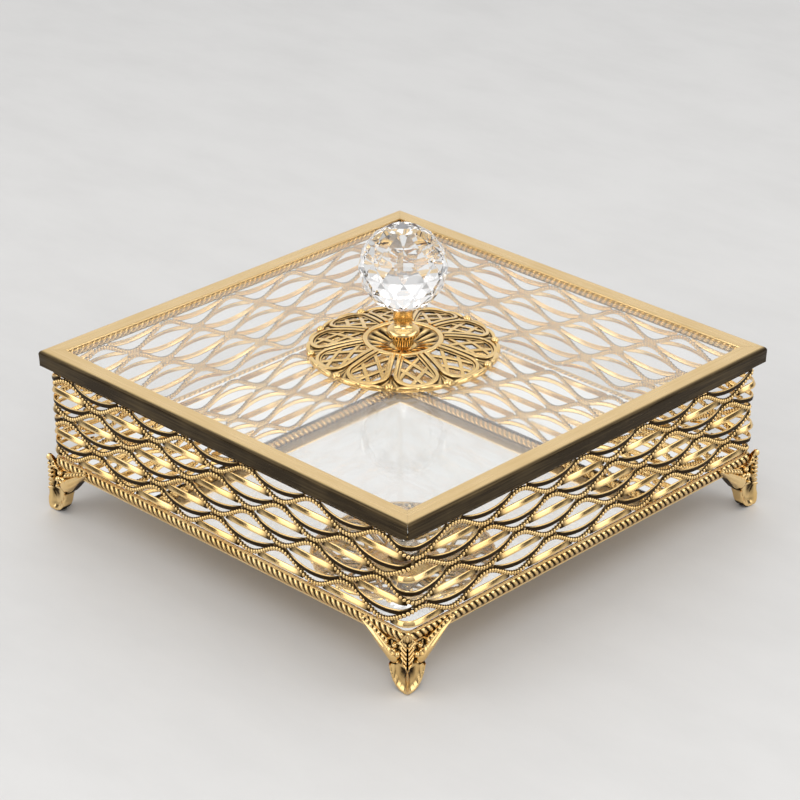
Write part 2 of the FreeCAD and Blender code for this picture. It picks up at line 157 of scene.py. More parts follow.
class Shell:
    """Closed surfaces of one piece: points, faces, and a painted shade value from 0 to 1 at every point,
    which darkens its colour.
    """

    def __init__(self):
        self.points = []
        self.faces = []
        self.painted_shade = []
        self.count = 0

    def add(self, points, faces, painted_shade=0.0):
        """Adds one closed surface or several alike, turned so that the volume inside is positive."""
        flat = points.reshape(-1, 3)
        ring = flat[faces]
        fans = np.cross(ring[:, 1:-1] - ring[:, :1], ring[:, 2:] - ring[:, :1])
        if np.einsum("ni,nki->", ring[:, 0] - flat.mean(0), fans) < 0:
            faces = faces[:, ::-1]
        self.points.append(flat)
        self.faces.append(faces + self.count)
        self.painted_shade.append(np.broadcast_to(painted_shade, points.shape[:-1]).reshape(-1))
        self.count += len(flat)

    def tube(self, points, painted_shade=0.0):
        """A ring of points carried along a path: points is (copies,) path, ring, 3, closed at both ends."""
        nu, nv = points.shape[-3:-1]
        count = points.size // (nu * nv * 3)
        self.add(points, lattice(count, nu, nv, wrap_v=True, caps=True), painted_shade)

    def hoop(self, points, painted_shade=0.0):
        """A ring of points carried round a closed path."""
        nu, nv = points.shape[-3:-1]
        count = points.size // (nu * nv * 3)
        self.add(points, lattice(count, nu, nv, wrap_u=True, wrap_v=True), painted_shade)

    def repeat(self, points, faces, painted_shade=0.0):
        """Many copies of one closed surface: points is copies, points of one copy, 3."""
        count, size = points.shape[:2]
        copies = (np.arange(count)[:, None, None] * size + faces).reshape(-1, faces.shape[1])
        self.add(points, copies, painted_shade)

    def slab(self, top, bottom, painted_shade=0.0):
        """A sheet with thickness: the ring runs along the top row and back along the bottom row."""
        ring = np.concatenate([top, bottom[..., ::-1, :]], -2)
        tone = np.broadcast_to(painted_shade, top.shape[:-1])
        self.tube(ring, np.concatenate([tone, tone[..., ::-1]], -1))


def make_piece(name, shell, material, body, replaces, sharp=50):
    """Puts a shell into a mesh, whole arrays at once, and sets it on its body in place of CAD nodes."""
    mesh = bpy.data.meshes.new(name)
    points = np.concatenate(shell.points) * MM
    sizes = np.concatenate([np.full(len(faces), faces.shape[1]) for faces in shell.faces])
    loops = np.concatenate([faces.reshape(-1) for faces in shell.faces])
    mesh.vertices.add(len(points))
    mesh.vertices.foreach_set("co", points.astype(np.float32).reshape(-1))
    mesh.loops.add(len(loops))
    mesh.loops.foreach_set("vertex_index", loops.astype(np.int32))
    mesh.polygons.add(len(sizes))
    mesh.polygons.foreach_set("loop_start", (np.cumsum(sizes) - sizes).astype(np.int32))
    mesh.polygons.foreach_set("use_smooth", np.ones(len(sizes), bool))
    mesh.update(calc_edges=True)
    # The painted shade value goes into a point attribute that the metal materials read.
    mesh.attributes.new("painted_shade", "FLOAT", "POINT")
    mesh.attributes["painted_shade"].data.foreach_set("value", np.concatenate(shell.painted_shade).astype(np.float32))
    mesh.set_sharp_from_angle(angle=math.radians(sharp))
    mesh.materials.append(material)
    piece = bpy.data.objects.new(name, mesh)
    bpy.context.scene.collection.objects.link(piece)
    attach(piece, body)
    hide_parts(*replaces)
    return piece


def bar_section(width, thickness, count=12, squareness=0.55):
    """Closed cross-section: an ellipse whose sine and cosine are raised to a power, which squares it up."""
    turn = (np.arange(count) + 0.5) * 2 * np.pi / count
    across = width / 2 * np.sign(np.cos(turn)) * np.abs(np.cos(turn)) ** squareness
    through = thickness / 2 * np.sign(np.sin(turn)) * np.abs(np.sin(turn)) ** squareness
    return across, through


def ribbon(path, across):
    """Points beside a flat path: every path point plus an offset along the path's own normal."""
    step = np.gradient(path, axis=-2)
    step = step / np.linalg.norm(step, axis=-1, keepdims=True)
    normal = np.stack([-step[..., 1], step[..., 0]], -1)
    return path[..., None, :] + across[:, None] * normal[..., None, :]


def turned(x, y, turn):
    """Plan point turned about the upright axis: the cosine and sine of the angle mix x and y."""
    return x * np.cos(turn) - y * np.sin(turn), x * np.sin(turn) + y * np.cos(turn)


def spun(r, turn, z):
    """Surface of revolution: a radius and a height carried round the upright axis."""
    return np.stack(np.broadcast_arrays(r * np.cos(turn), r * np.sin(turn), z), -1)


def ball_template(latitudes, around):
    """Unit ball about the second axis: two poles and rings between them, joined by triangles.

    A ring's radius and height are the sine and cosine of its angle from the pole.
    """
    latitude = np.radians(latitudes)
    rings = len(latitude)
    turn = 2 * np.pi * np.arange(around) / around
    ring = np.stack(np.broadcast_arrays(
        np.sin(latitude)[:, None] * np.cos(turn),
        np.cos(latitude)[:, None],
        np.sin(latitude)[:, None] * np.sin(turn)), -1).reshape(-1, 3)
    points = np.concatenate([[[0, 1, 0]], ring, [[0, -1, 0]]])
    here = np.arange(around)
    after = (here + 1) % around
    last = len(points) - 1
    base = (1 + around * np.arange(rings - 1))[:, None]
    faces = [
        np.stack([np.zeros_like(here), 1 + after, 1 + here], -1),
        np.stack([base + here, base + after, base + around + after], -1).reshape(-1, 3),
        np.stack([base + here, base + around + after, base + around + here], -1).reshape(-1, 3),
        np.stack([np.full_like(here, last), last - around + here, last - around + after], -1)]
    return points, np.concatenate(faces)


# Shader groups
COLOR, FLOAT = "NodeSocketColor", "NodeSocketFloat"
WHITE, BLACK = (1, 1, 1, 1), (0, 0, 0, 1)
# The third colour is the painted shade colour, and the first value is how much painted shade a point takes.
METAL_INPUTS = (
    ("Bright", COLOR, WHITE), ("Warm", COLOR, WHITE), ("Shade Color", COLOR, BLACK),
    ("Painted Shade", FLOAT, 0.0), ("Gloss", FLOAT, 0.1), ("Dull", FLOAT, 0.3))
GLASS_INPUTS = (
    ("Clear", COLOR, WHITE), ("Hazed", COLOR, WHITE), ("Gloss", FLOAT, 0.0), ("Dull", FLOAT, 0.1))
FINISH_OUTPUTS = (("Color", COLOR), ("Roughness", FLOAT), ("Height", FLOAT))


def feed(tree, socket, value):
    """Links an input to another socket, or sets its value."""
    if isinstance(value, bpy.types.NodeSocket):
        tree.links.new(value, socket)
    else:
        socket.default_value = value


def add_node(tree, kind, settings=None, **inputs):
    """A shader node with its settings and with values or links for its inputs, by socket name."""
    node = tree.nodes.new(kind)
    for key, value in (settings or {}).items():
        setattr(node, key, value)
    for key, value in inputs.items():
        feed(tree, node.inputs[key.replace("_", " ")], value)
    return node


def new_group(name, inputs, outputs):
    """An empty shader group with named sockets: each is a name, a socket type and a starting value."""
    group = bpy.data.node_groups.new(name, "ShaderNodeTree")
    for label, kind, value in inputs:
        socket = group.interface.new_socket(label, in_out="INPUT", socket_type=kind)
        socket.default_value = value
    for label, kind in outputs:
        group.interface.new_socket(label, in_out="OUTPUT", socket_type=kind)
    return group, group.nodes.new("NodeGroupInput").outputs, group.nodes.new("NodeGroupOutput").inputs


def math_node(tree, operation, first, second):
    """Result of a math node with two values or links."""
    node = add_node(tree, "ShaderNodeMath", {"operation": operation})
    feed(tree, node.inputs[0], first)
    feed(tree, node.inputs[1], second)
    return node.outputs[0]


def spread(tree, value, low, high, to_low, to_high):
    """Maps a value from one range to another, held at both ends."""
    node = add_node(
        tree, "ShaderNodeMapRange", {"clamp": True},
        Value=value, From_Min=low, From_Max=high, To_Min=to_low, To_Max=to_high)
    return node.outputs[0]


def blend_colors(tree, factor, first, second):
    """Mix of two colours, as values or links. The node's colour sockets are 6 and 7, its result is 2."""
    node = add_node(tree, "ShaderNodeMix", {"data_type": "RGBA"})
    feed(tree, node.inputs[0], factor)
    feed(tree, node.inputs[6], first)
    feed(tree, node.inputs[7], second)
    return node.outputs[2]


def object_noise(tree, scale, detail=4.0, roughness=0.55, stretch=(1, 1, 1)):
    """Noise on Object coordinates, stretched along the axes."""
    place = tree.nodes.new("ShaderNodeTexCoord").outputs["Object"]
    mapping = add_node(tree, "ShaderNodeMapping", Vector=place, Scale=stretch)
    noise = add_node(
        tree, "ShaderNodeTexNoise",
        Vector=mapping.outputs[0], Scale=scale, Detail=detail, Roughness=roughness)
    return noise.outputs[0]


def plating_group():
    """Plated metal: bright on the open faces, with a painted shade, a near-black tone mixed in where the
    painted shade value is high.

    A soft noise drifts the tone, a finer one breaks up the gloss, and a fine one gives the cast grain.
    """
    group, given, out = new_group("plating", METAL_INPUTS, FINISH_OUTPUTS)
    drift = object_noise(group, 60.0)
    fine = object_noise(group, 900.0)
    grain = object_noise(group, 4200.0, detail=2.0)
    tone = blend_colors(group, spread(group, drift, 0.35, 0.68, 0.0, 1.0), given["Bright"], given["Warm"])
    # Painted shade: the dark colour is mixed in by the painted shade value, made a little patchy by noise.
    patchy_shade = math_node(group, "MULTIPLY", given["Painted Shade"], spread(group, fine, 0.25, 0.6, 1.0, 1.3))
    edge = math_node(group, "MINIMUM", patchy_shade, 1.0)
    color = blend_colors(group, edge, tone, given["Shade Color"])
    rough = spread(group, fine, 0.3, 0.72, given["Gloss"], given["Dull"])
    links = group.links
    links.new(color, out["Color"])
    links.new(math_node(group, "MAXIMUM", rough, math_node(group, "MULTIPLY", edge, 0.5)), out["Roughness"])
    links.new(math_node(group, "ADD", math_node(group, "MULTIPLY", fine, 0.6), grain), out["Height"])
    return group


def brushing_group():
    """Brushed sheet: long fine scratches beside an axis, and patches of wear."""
    group, given, out = new_group("brushing", METAL_INPUTS, FINISH_OUTPUTS)
    along_x = object_noise(group, 1500.0, 3.0, 0.6, (0.03, 1, 1))
    along_y = object_noise(group, 1500.0, 3.0, 0.6, (1, 0.03, 1))
    patch = object_noise(group, 45.0)
    place = group.nodes.new("ShaderNodeTexCoord").outputs["Object"]
    axes = add_node(group, "ShaderNodeSeparateXYZ", Vector=place)
    wide = math_node(group, "ABSOLUTE", axes.outputs["X"], 0.0)
    deep = math_node(group, "ABSOLUTE", axes.outputs["Y"], 0.0)
    facing = math_node(group, "GREATER_THAN", deep, wide)
    mix = group.nodes.new("ShaderNodeMix")
    feed(group, mix.inputs[0], facing)
    feed(group, mix.inputs[2], along_y)
    feed(group, mix.inputs[3], along_x)
    streak = mix.outputs[0]
    fine_share = math_node(group, "MULTIPLY", streak, 0.6)
    both = math_node(group, "ADD", fine_share, math_node(group, "MULTIPLY", patch, 0.4))
    tone = blend_colors(group, spread(group, both, 0.36, 0.64, 0.0, 1.0), given["Bright"], given["Warm"])
    # Painted shade: the dark colour is mixed in by the painted shade value, made a little patchy by noise.
    patchy_shade = math_node(group, "MULTIPLY", given["Painted Shade"], spread(group, both, 0.34, 0.66, 1.05, 0.92))
    edge = math_node(group, "MINIMUM", patchy_shade, 1.0)
    links = group.links
    links.new(blend_colors(group, edge, tone, given["Shade Color"]), out["Color"])
    links.new(spread(group, both, 0.34, 0.66, given["Gloss"], given["Dull"]), out["Roughness"])
    links.new(streak, out["Height"])
    return group


def smudge_group():
    """Wiped glass: wide faint smears in the gloss, a slow ripple, and a barely seen tint."""
    group, given, out = new_group("smudge", GLASS_INPUTS, FINISH_OUTPUTS)
    smear = object_noise(group, 38.0, 5.0, 0.6, (1, 0.45, 1))
    ripple = object_noise(group, 14.0, 1.0, 0.4)
    haze = spread(group, smear, 0.35, 0.7, 0.0, 1.0)
    links = group.links
    links.new(blend_colors(group, haze, given["Clear"], given["Hazed"]), out["Color"])
    links.new(spread(group, smear, 0.45, 0.75, given["Gloss"], given["Dull"]), out["Roughness"])
    links.new(ripple, out["Height"])
    return group


plating = plating_group()
brushing = brushing_group()
smudge = smudge_group()


# Materials
def surface_material(name, group, colors, gloss, dull, bump, metallic, reads_painted_shade=False, **constants):
    """One shader fed by one group: colour, roughness, and a bump of a given strength and depth."""
    material = bpy.data.materials.new(name)
    material.use_nodes = True
    tree = material.node_tree
    shader = tree.nodes["Principled BSDF"]
    finish = add_node(tree, "ShaderNodeGroup", {"node_tree": group}, Gloss=gloss, Dull=dull, **colors)
    # The point attribute brings in the painted shade value.
    if reads_painted_shade:
        painted_shade = add_node(tree, "ShaderNodeAttribute", {"attribute_name": "painted_shade"})
        tree.links.new(painted_shade.outputs["Fac"], finish.inputs["Painted Shade"])
    height = add_node(
        tree, "ShaderNodeBump", Height=finish.outputs["Height"], Strength=bump[0], Distance=bump[1])
    tree.links.new(finish.outputs["Color"], shader.inputs["Base Color"])
    tree.links.new(finish.outputs["Roughness"], shader.inputs["Roughness"])
    tree.links.new(height.outputs[0], shader.inputs["Normal"])
    shader.inputs["Metallic"].default_value = metallic
    for key, value in constants.items():
        shader.inputs[key.replace("_", " ")].default_value = value
    return material


def let_light_through(material, tint):
    """Shadow rays pass the glass, so that what lies under it is lit."""
    tree = material.node_tree
    output = tree.nodes["Material Output"]
    shader = tree.nodes["Principled BSDF"]
    path = tree.nodes.new("ShaderNodeLightPath")
    clear = add_node(tree, "ShaderNodeBsdfTransparent", Color=tint)
    mix = tree.nodes.new("ShaderNodeMixShader")
    tree.links.new(path.outputs["Is Shadow Ray"], mix.inputs[0])
    tree.links.new(shader.outputs[0], mix.inputs[1])
    tree.links.new(clear.outputs[0], mix.inputs[2])
    tree.links.new(mix.outputs[0], output.inputs["Surface"])


# Each metal's third colour is its painted shade colour, a near black for dark reflections and shade.
polished_gold = surface_material(
    "polished_gold", plating,
    {"Bright": (0.90, 0.65, 0.31, 1), "Warm": (0.80, 0.53, 0.21, 1), "Shade Color": (0.030, 0.017, 0.006, 1)},
    0.08, 0.16, (0.10, 0.0002), 1.0, reads_painted_shade=True)
satin_gold = surface_material(
    "satin_gold", brushing,
    {"Bright": (0.85, 0.63, 0.33, 1), "Warm": (0.74, 0.53, 0.25, 1), "Shade Color": (0.040, 0.028, 0.015, 1)},
    0.22, 0.38, (0.10, 0.0002), 1.0, reads_painted_shade=True)
floor_mirror = surface_material(
    "floor_mirror", smudge,
    {"Clear": (0.93, 0.93, 0.92, 1), "Hazed": (0.88, 0.88, 0.87, 1)},
    0.015, 0.06, (0.05, 0.0004), 1.0)
clear_glass = surface_material(
    "clear_glass", smudge,
    {"Clear": (1.0, 1.0, 1.0, 1), "Hazed": (0.965, 0.975, 0.97, 1)},
    0.0, 0.05, (0.03, 0.0003), 0.0, Transmission_Weight=0.96, IOR=1.5)
cut_crystal = surface_material(
    "cut_crystal", smudge,
    {"Clear": (1.0, 1.0, 1.0, 1), "Hazed": (0.985, 0.985, 0.99, 1)},
    0.0, 0.015, (0.01, 0.0001), 0.0, Transmission_Weight=1.0, IOR=1.60)
# The bond is clear; its gold colour is painted, standing in for the gold flange that shows through it.
bond_painted_flange = surface_material(
    "bond_painted_flange", smudge,
    {"Clear": (0.86, 0.63, 0.34, 1), "Hazed": (0.78, 0.55, 0.27, 1)},
    0.25, 0.40, (0.1, 0.0003), 0.2)
soft_ring = surface_material(
    "soft_ring", smudge,
    {"Clear": (0.80, 0.68, 0.48, 1), "Hazed": (0.72, 0.60, 0.41, 1)},
    0.45, 0.65, (0.15, 0.0002), 0.0)
plated_steel = surface_material(
    "plated_steel", brushing,
    {"Bright": (0.78, 0.76, 0.72, 1), "Warm": (0.62, 0.60, 0.57, 1), "Shade Color": (0.12, 0.11, 0.10, 1)},
    0.18, 0.35, (0.10, 0.0001), 1.0, reads_painted_shade=True)
for glass, tint in ((clear_glass, (0.97, 0.98, 0.97, 1)), (cut_crystal, (0.9, 0.9, 0.9, 1))):
    let_light_through(glass, tint)


# Lace strip
def side_turn(side):
    """Angle from the front side to another side, a quarter turn for each."""
    return sides.index(side) * np.pi / 2


def bent(side, s, out, z):
    """Place of a point of the unrolled strip: s along its line from a side's middle, out square to it.

    The line is straight as far as the corner bend, goes round a quarter circle and is straight again.
    """
    past = np.abs(s) - bend_centre
    angle = np.clip(past / bend_radius, 0, np.pi / 2)
    beyond = np.clip(past - bend_radius * np.pi / 2, 0, None)
    x = np.sign(s) * (np.minimum(np.abs(s), bend_centre) + (bend_radius + out) * np.sin(angle))
    y = beyond - bend_centre - (bend_radius + out) * np.cos(angle)
    return np.stack(np.broadcast_arrays(*turned(x, y, side_turn(side)), z), -1)


def wave(index, p):
    """Height of a wave line at pattern place p: stacked cosine waves, every second one upside down."""
    sign = (-1) ** (wave_count - 1 - index)
    swing = wave_amplitude * np.cos(2 * np.pi * (p - wave_start) / wave_length)
    return wave_low + index * wave_spacing + sign * swing


def bead_places(index):
    """Pattern places of one line's beads, evenly spaced on the curve: its length is summed and divided."""
    p = np.linspace(-half_loop, half_loop, line_samples)
    length = np.concatenate([[0], np.cumsum(np.hypot(np.diff(p), np.diff(wave(index, p))))])
    count = round(length[-1] / bead_pitch)
    return np.interp((np.arange(count) + 0.5) * length[-1] / count, length, p)


def lens_places(row):
    """Pattern places of a row's lens middles round the box, half a wave further on in every second row."""
    first = wave_start + wave_length / 2 * ((wave_count - row) % 2 == 0)
    k = np.arange(math.floor(-half_loop / wave_length) - 1, math.ceil(half_loop / wave_length) + 1)
    places = first + k * wave_length
    return places[np.abs(places) < half_loop + wave_length / 4]


def add_beads(shell, side, index):
    """Beads of one wave line: flattened balls one pitch apart along the curve, each turned to its slope."""
    start = side_starts[side]
    places = bead_places(index)
    places = places[(places >= start) & (places < start + 2 * half_wall)][:, None]
    points, faces = ball_template((48, 76, 104, 132), 7)
    along, out, across = (points * (bead_long, bead_thick, bead_wide)).T
    rise = wave(index, places + slope_step) - wave(index, places - slope_step)
    slope = np.arctan(rise / (2 * slope_step))
    s = places - start - half_wall + along * np.cos(slope) - across * np.sin(slope)
    z = wave(index, places) + along * np.sin(slope) + across * np.cos(slope)
    # Painted shade round each bead's rim, lighter on the inner side.
    rim = np.clip((bead_cap - np.abs(points[:, 1])) / bead_fade, 0, 1)
    shell.repeat(bent(side, s, out + bead_proud, z), faces, rim * np.where(out > 0, 1.0, inner_bead_shade))


def add_joints(shell, side, row):
    """Plates that join two waves where they come closest: flattened balls midway between the lines."""
    start = side_starts[side]
    places = lens_places(row + 1)
    places = places[(places >= start) & (places < start + 2 * half_wall)][:, None]
    points, faces = ball_template((30, 60, 90, 120, 150), 12)
    along, out, up = (points * (joint_long, joint_thick, joint_high)).T
    z = wave_low + (row - 0.5) * wave_spacing + up
    # Painted shade on the joint plates, lighter towards their ends and on the inner side.
    dark = np.where(out > -joint_thick / 3, band_shade - 0.3 * np.abs(points[:, 0]), inner_joint_shade)
    shell.repeat(bent(side, places - start - half_wall + along, out, z), faces, dark)


def slat_section(width):
    """Cross-section of a vane: a flat strip whose two faces round off towards its edges as a sixth power."""
    share = np.array([0.49, 0.42, 0.34, 0.24, 0.05, -0.2, -0.4, -0.49])
    out = slat_sheet / 2 * np.sqrt(1 - (2 * share) ** 6)
    return width * np.concatenate([share, share[::-1]]), np.concatenate([out, -out[::-1]])


def add_slats(shell, side, row, reach, rise, sag, width, bow, lean, shade):
    """Vanes across the lenses of one row: bars that lean, bowed outwards and upwards as parabolas.

    A painted shade, a dark reflection, darkens the lower part of the outer face, and painted shade darkens
    both ends where they meet the waves.
    """
    start = side_starts[side]
    middles = lens_places(row)
    held = np.clip(middles, -half_loop + seam_hair, half_loop - seam_hair)
    middles = middles[(held >= start) & (held < start + 2 * half_wall)]
    low = np.maximum(-reach, -half_loop - middles)
    high = np.minimum(reach, half_loop - middles)
    along = low[:, None] + (high - low)[:, None] * np.linspace(0, 1, slat_steps)
    share = (along / reach)[..., None]
    up, out = slat_section(width)
    height = wave_low + (row - 0.5) * wave_spacing + rise + sag * share ** 2
    z = height + up * math.cos(lean) - out * math.sin(lean)
    away = bow * (1 - share ** 2) + up * math.sin(lean) + out * math.cos(lean)
    s = (middles[:, None] + along - start - half_wall)[..., None] + 0 * z
    # Painted dark reflection on the outer face, and painted shade at both ends.
    face = shade * smooth_step(0.38 - up / width, 0, 0.12)
    ends = 0.9 * smooth_step(np.abs(share), 0.55, 1.0)
    shell.tube(bent(side, s, away, z), np.maximum(face, ends) * (out > 0))


def lace_side(side):
    """One side of the strip: beaded wave bands, two vanes in every lens, and a wire along each edge.

    The bands are squared ellipses carried along the wave lines. A bar closes the strip at its seam.
    """
    shell = Shell()
    start = side_starts[side]
    p = np.linspace(start, start + 2 * half_wall, wave_steps)
    local = p - start - half_wall
    across, through = bar_section(band_width, band_sheet)
    # Painted shade on the band faces away from their edges, lighter on the inner side.
    tone = np.clip(3 * np.abs(through) / band_sheet, 0, 1)
    tone = tone * np.where(through > 0, band_shade, inner_band_shade)
    for index in range(wave_count):
        flat = ribbon(np.stack([local, wave(index, p)], -1), across)
        shell.tube(bent(side, flat[..., 0], through, flat[..., 1]), tone)
        add_beads(shell, side, index)
    for row in range(wave_count + 1):
        if row < wave_count:
            add_slats(shell, side, row, **upper_slat)
        if 0 < row < wave_count:
            add_joints(shell, side, row)
        if row > 0:
            add_slats(shell, side, row, **lower_slat)
    # The edge wires and the seam bar carry a fixed painted shade, deeper on the upper wire.
    for height, tone in ((strip_bottom - 0.8 * edge_wire, 0.2), (strip_top + edge_wire / 4, 0.8)):
        up, out = bar_section(edge_wire, strip_sheet)
        shell.tube(bent(side, local[:, None] + 0 * up, out, height + up), tone)
    if side in ("right", "back"):
        end = half_wall - seam_bar / 2 if side == "right" else seam_bar / 2 - half_wall
        up = np.linspace(strip_bottom, strip_top, 12)[:, None]
        beside, out = bar_section(seam_bar, band_sheet)
        shell.tube(bent(side, end + beside, out, up), 0.2)
    return make_piece("lace_" + side, shell, polished_gold, "box", ["gallery_" + side])


def rope_side(side, name, middle, shift=0.0):
    """Twisted edge wire: an oval whose lobes are half circles with a crease between, turning as they go."""
    shell = Shell()
    count = round(2 * half_loop / rope_pitch)
    pitch = 2 * half_loop / count
    start = side_starts[side]
    steps = round(2 * half_wall / pitch * rope_steps)
    s = np.linspace(0, 2 * half_wall, steps + 1)
    turn = np.arange(rope_around) * 2 * np.pi / rope_around
    phase = ((s + start)[:, None] / pitch + np.sin(turn) * rope_slope_share / 2) % 1
    beside = np.abs(2 * phase - 1) / rope_lobe_share
    lobe = np.sqrt(np.clip(1 - beside ** 2, 0, 1))
    raised = 1 - rope_groove_share * (1 - lobe)
    out = shift + rope_width / 2 * np.cos(turn) * raised
    z = middle + rope_height / 2 * np.sin(turn) * (1 + raised) / 2
    # Painted shade in the creases between lobes, deeper on the outer face.
    dark = np.clip(2.2 * beside - 1.1, 0, 1) * (0.35 + 0.65 * smooth_step(np.cos(turn), -0.3, 0.3))
    shell.tube(bent(side, (s - half_wall)[:, None] + 0 * out, out, z), dark)
    replaced = [name + "_" + side]
    return make_piece(name + "_twist_" + side, shell, polished_gold, "box", replaced)


for side in sides:
    lace_side(side)
    rope_side(side, "lower_rope", lower_rope_low + rope_height / 2)
    rope_side(side, "upper_rope", upper_rope_high - rope_height / 2, upper_rope_shift)


# Lid frame
rail_sheet = 0.7
rail_flange = 6.8
rail_roll = 1.6
rail_mitre_gap = 0.05
rail_slit = 0.35
bond_setback = 0.5
bond_gap = 0.02


def lid_rail(side):
    """Rail of folded sheet: flange, rolled edge and skirt as one outline, carried between two mitres.

    The ends stop at the mitre line, a little short of it on the skirt, which leaves a slit at the corner.
    """
    shell = Shell()
    bend = np.linspace(0, np.pi / 2, 9)
    small = rail_roll - rail_sheet
    roll_out, roll_low = half_lid - rail_roll, lid_top - rail_roll
    inner = half_lid - rail_flange
    nose = rail_sheet / 4
    outline = np.concatenate([
        [[inner, lid_top - nose], [inner + nose, lid_top]],
        np.stack([np.linspace(inner + 1, roll_out - 0.2, 4), np.full(4, lid_top)], -1),
        np.stack([roll_out + rail_roll * np.sin(bend), roll_low + rail_roll * np.cos(bend)], -1),
        np.stack([np.full(4, half_lid), np.linspace(roll_low - 0.3, skirt_bottom + nose, 4)], -1),
        [[half_lid - nose, skirt_bottom], [half_lid - rail_sheet, skirt_bottom]],
        np.stack([roll_out + small * np.cos(bend), roll_low + small * np.sin(bend)], -1),
        [[inner, lid_top - rail_sheet]]])
    out, z = outline[:, 0], outline[:, 1]
    short = rail_mitre_gap + rail_slit * np.clip((roll_low - z) / 0.6, 0, 1)
    t = np.linspace(-1, 1, 41)[:, None]
    x = t * (out - short)
    plan = turned(x, -out + 0 * x, side_turn(side))
    # Painted dark reflection: the rolled edge and the skirt are darkened as if they mirrored dark
    # surroundings.
    shade = smooth_step(lid_top - z, 0.02, 0.4) * (out > roll_out)
    shell.tube(np.stack([*plan, z + 0 * x], -1), shade + 0 * x)
    return make_piece("rail_" + side, shell, satin_gold, "lid", ["lid_rail_" + side], sharp=30)


def bond_cord():
    """Flat cord between glass and rail: a chamfered bar carried round a square, a hair clear of both."""
    shell = Shell()
    low, high = corners("glazing_bond")
    inner = half_lid - rail_flange + bond_setback
    out, z = bar_section(high[0] - inner, high[2] - low[2] - 2 * bond_gap, 8, 0.3)
    out = out + (high[0] + inner) / 2
    z = z + (low[2] + high[2]) / 2
    plan = turned(out, out, np.arange(4)[:, None] * np.pi / 2)
    shell.hoop(np.stack(np.broadcast_arrays(*plan, z), -1))
    return make_piece("bond_cord", shell, bond_painted_flange, "lid", ["glazing_bond"], sharp=30)


for side in sides:
    lid_rail(side)
bond_cord()


# Rosette
petal_count = 10
petal_root = 14.0
petal_shoulder = 26.75
petal_end = 32.4
petal_half = 7.2
petal_line = 1.3
petal_ledge = 0.95
petal_ledge_inset = 1.05
# petal_shade and bar_shade are painted shade on the sides of the petal lines and bars.
petal_shade = 0.7
bar_shade = 0.65
bar_middle = 23.8
bar_reach = 14.0
bar_width = 1.45
bar_height = 0.9
bar_angle = math.radians(38)
bar_spacing = 5.2
leaf_root = 25.2
leaf_end = 32.5
rim_width = 1.8
rim_height = 2.2
rim_steps = 600
drop_share = 0.12
drop_radii = (1.5, 1.45, 1.65)
ring_height = ring_top - 1.4
ring_radius = 13.3
ring_width = 1.9
ring_thick = 1.3
cup_radius = 4.9
cup_floor = stem_bottom + 0.9
cup_thick = 1.1
cup_steps = 320
flute_count = 18
flute_depth = 0.6


def dome(r):
    """Height of the rosette's dome at a radius: it falls from the ring to the rim as a power curve."""
    share = np.clip((r - ring_radius) / (rosette_radius - 1 - ring_radius), 0, 1)
    return glass_top + 1.1 + (ring_height - glass_top - 1.7) * (1 - share ** 1.6)


def on_dome(plan, lift):
    """Place of plan points on the dome, lifted straight up."""
    z = dome(np.hypot(plan[..., 0], plan[..., 1])) + lift
    return np.stack(np.broadcast_arrays(plan[..., 0], plan[..., 1], z), -1)


def round_about(plan, shift=0.5):
    """Copies of plan points turned round the knob's axis, one per petal."""
    turn = (np.arange(petal_count) + shift) * 2 * np.pi / petal_count
    turn = turn.reshape((-1,) + (1,) * (plan.ndim - 1))
    return np.stack(turned(plan[..., 0], plan[..., 1], turn), -1)


def petal_outline(inset):
    """Tulip: two straight sides that run beside the next petals, closed by the end of an ellipse."""
    slope = math.sin(math.pi / petal_count)
    long, wide = petal_end - petal_shoulder - inset, petal_half - inset
    reach = math.pi - math.atan2(wide, long * slope)
    t = np.linspace(reach, -reach, 61)
    end = np.stack([petal_shoulder + long * np.cos(t), wide * np.sin(t)], -1)
    x = np.linspace(petal_root, end[0, 0], 14)[:-1]
    side = np.stack([x, end[0, 1] - slope * (end[0, 0] - x)], -1)
    return np.concatenate([side, end, side[::-1] * (1, -1)])


def half_width(x):
    """Half width of the petal's outline at a distance x from the knob's axis."""
    edge = petal_outline(0)
    edge = edge[edge[:, 1] >= 0]
    return np.interp(x, edge[:, 0], edge[:, 1], right=0)


def add_petals(shell):
    """A raised line and a lower ledge round every petal, and two pairs of crossing bars, all on the dome."""
    for inset, width, height, lift in (
            (0, petal_line, 1.3, 0.2), (petal_ledge_inset, petal_ledge, 0.9, -0.15)):
        across, up = bar_section(width, height, 12, 0.38)
        flat = round_about(ribbon(petal_outline(inset), across))
        # Painted shade on the lower sides of the petal lines, and a little on the whole ledge.
        side = petal_shade * (np.abs(across) > 0.42 * width) * (up < 0.3 * height)
        shell.tube(on_dome(flat, lift + up), side + 0.12 * (inset > 0))
    across, up = bar_section(bar_width, bar_height, 12, 0.35)
    q = np.linspace(-bar_reach, bar_reach, 600)
    for lean in (bar_angle, -bar_angle):
        for offset in (-bar_spacing / 2, bar_spacing / 2):
            x = bar_middle + q * math.cos(lean) - offset * math.sin(lean)
            y = q * math.sin(lean) + offset * math.cos(lean)
            inside = (np.abs(y) < half_width(x)) & (x > petal_root)
            ends = np.flatnonzero(inside)[[0, -1]]
            run = np.linspace(0, 1, 9)[:, None]
            path = (1 - run) * (x[ends[0]], y[ends[0]]) + run * (x[ends[1]], y[ends[1]])
            flat = round_about(ribbon(path, across))
            # Painted shade on the lower sides of the bars.
            side = bar_shade * (np.abs(across) > 0.42 * bar_width) * (up < bar_height / 3)
            shell.tube(on_dome(flat, up - 0.35), side)


